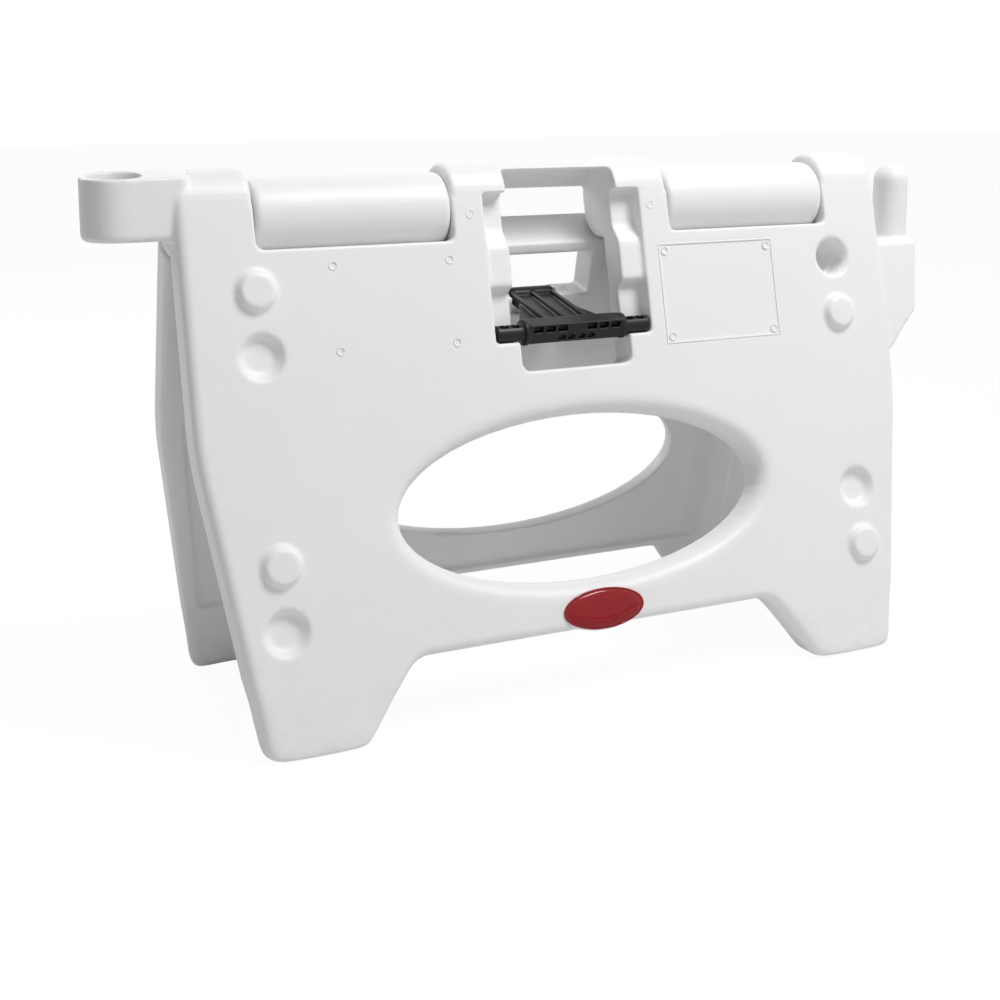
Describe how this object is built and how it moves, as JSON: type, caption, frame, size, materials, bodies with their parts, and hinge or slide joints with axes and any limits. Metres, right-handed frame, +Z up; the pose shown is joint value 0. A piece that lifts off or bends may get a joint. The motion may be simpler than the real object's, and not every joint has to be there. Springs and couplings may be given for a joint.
{
  "type": "folding safety barrier",
  "caption": "Folding A-frame safety barrier of two white hollow plastic panels with an oval opening, a top hinge, a carrying hand hole, a black stay, a linking arm and a peg.",
  "frame": {"origin": "on the floor, under the middle of the overall box", "axes": "+X along the barrier from the arm to the peg, the front panel faces -Y, +Z up"},
  "size_m": [1.013, 0.3134, 0.5635],
  "materials": {
    "white_shell": "fine satin moulded polyethylene",
    "red_badge": "glossy domed resin",
    "grey_plug": "plain moulded",
    "steel_pin": "drawn steel",
    "black_stay": "satin moulded, lightly grained"
  },
  "bodies": {
    "front_leg": {"front_panel": "white_shell", "badge": "red_badge"},
    "rear_leg": {"rear_panel": "white_shell", "hinge_plug_left_outer": "grey_plug", "hinge_plug_left_inner": "grey_plug", "hinge_plug_right_inner": "grey_plug", "hinge_plug_right_outer": "grey_plug", "stay_pivot_pin": "steel_pin"},
    "stay_arm": {"stay": "black_stay"}
  },
  "joints": [
    {"name": "fold", "type": "hinge", "parent": "front_leg", "child": "rear_leg", "pos_m": [0, 0, 0.51371], "axis": [-1, 0, 0], "range_deg": [0, 26]},
    {"name": "stay_turn", "type": "hinge", "parent": "rear_leg", "child": "stay_arm", "pos_m": [0, 0.04326, 0.41081], "axis": [-1, 0, 0], "range_deg": [0, 61.2]}
  ],
  "couplings": [
    {"joint": "stay_turn", "follows": "fold", "ratio": 2.3538}
  ]
}
